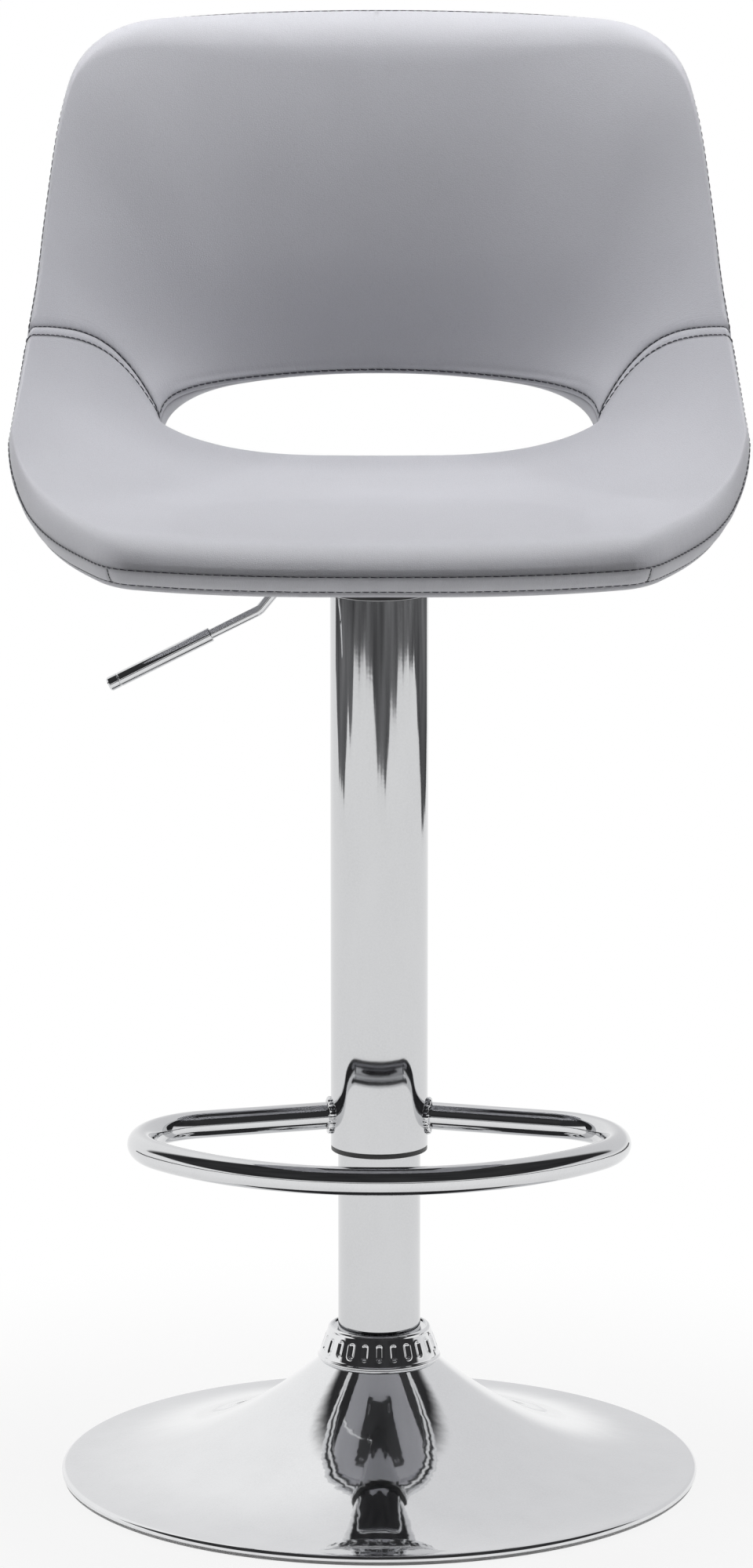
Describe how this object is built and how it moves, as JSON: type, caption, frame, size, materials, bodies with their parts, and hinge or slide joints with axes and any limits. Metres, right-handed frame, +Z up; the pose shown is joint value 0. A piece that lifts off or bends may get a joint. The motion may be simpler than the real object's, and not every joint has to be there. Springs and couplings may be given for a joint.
{
  "type": "bar stool",
  "caption": "Height-adjustable swivel bar stool: padded grey bucket seat with an open lower back, chromed gas-lift column, footrest loop, release lever and flared round base.",
  "frame": {"origin": "on the floor, in the middle of the base and on the column's axis", "axes": "+Z up along the column, -Y to the front of the seat, +X to the sitter's left"},
  "size_m": [0.445, 0.4812, 0.8943],
  "materials": {
    "ring_grey": "matt light grey ring",
    "dark_paint": "black powder coat",
    "iron": "rough, painted",
    "chrome": "mirror bright",
    "steel": "bright zinc",
    "dark_steel": "black oxide",
    "black_plastic": "fine satin",
    "brass": "turned",
    "black_rubber": "matt",
    "lift_paint": "black gloss",
    "seal_plastic": "moulded",
    "pin_plastic": "moulded",
    "plywood": "moulded plywood, raw",
    "seat_leather": "silver-grey imitation leather, fine grain, satin",
    "back_leather": "silver-grey imitation leather, fine grain, satin",
    "outer_leather": "silver-grey imitation leather, fine grain, satin",
    "band_leather": "silver-grey imitation leather, fine grain, satin"
  },
  "bodies": {
    "base": {"floor_ring": "ring_grey", "bottom_plate": "dark_paint", "ballast": "iron", "base_cover": "chrome", "column_socket": "steel", "socket_screws": "dark_steel", "collar": "chrome", "lower_tube": "chrome", "bearing_plate": "steel", "lower_race": "steel", "guide_bush": "black_plastic"},
    "cage": {"ball_cage": "brass", "bearing_balls": "steel"},
    "rod": {"upper_race": "steel", "rubber_buffer": "black_rubber", "piston_rod": "chrome", "rod_clip": "dark_steel", "piston": "brass"},
    "lift": {"pressure_tube": "lift_paint", "inner_tube": "steel", "rod_seal": "seal_plastic", "valve_body": "brass", "outer_tube": "chrome", "foot_bush": "black_plastic", "tube_cap": "black_plastic", "footrest_ring": "chrome", "footrest_welds": "chrome", "seat_plate": "dark_paint", "taper_socket": "dark_paint", "lever_bracket": "dark_paint", "lever_pin": "steel", "plate_washers": "steel", "plate_screws": "dark_steel", "tee_nuts": "steel", "seat_shell": "plywood", "seat_pad": "seat_leather", "back_pad": "back_leather", "outer_cover": "outer_leather", "edge_band": "band_leather", "hole_band": "band_leather"},
    "lever": {"lever_rod": "chrome", "lever_grip": "chrome"},
    "pin": {"valve_pin": "pin_plastic"}
  },
  "joints": [
    {"name": "swivel", "type": "hinge", "parent": "base", "child": "rod", "pos_m": [0, 0, 0.1], "axis": [0, 0, 1], "continuous": true},
    {"name": "cage_spin", "type": "hinge", "parent": "base", "child": "cage", "pos_m": [0, 0, 0.105], "axis": [0, 0, 1], "continuous": true},
    {"name": "lift", "type": "slide", "parent": "rod", "child": "lift", "axis": [0, 0, 1], "range_m": [0, 0.21]},
    {"name": "lever", "type": "hinge", "parent": "lift", "child": "lever", "pos_m": [-0.044, 0, 0.5695], "axis": [0, 1, 0], "range_deg": [0, 4.1]},
    {"name": "valve", "type": "slide", "parent": "lift", "child": "pin", "axis": [0, 0, -1], "range_m": [0, 0.0034]}
  ],
  "couplings": [
    {"joint": "cage_spin", "follows": "swivel", "ratio": 0.5},
    {"joint": "valve", "follows": "lever", "m_per_rad": 0.047}
  ]
}
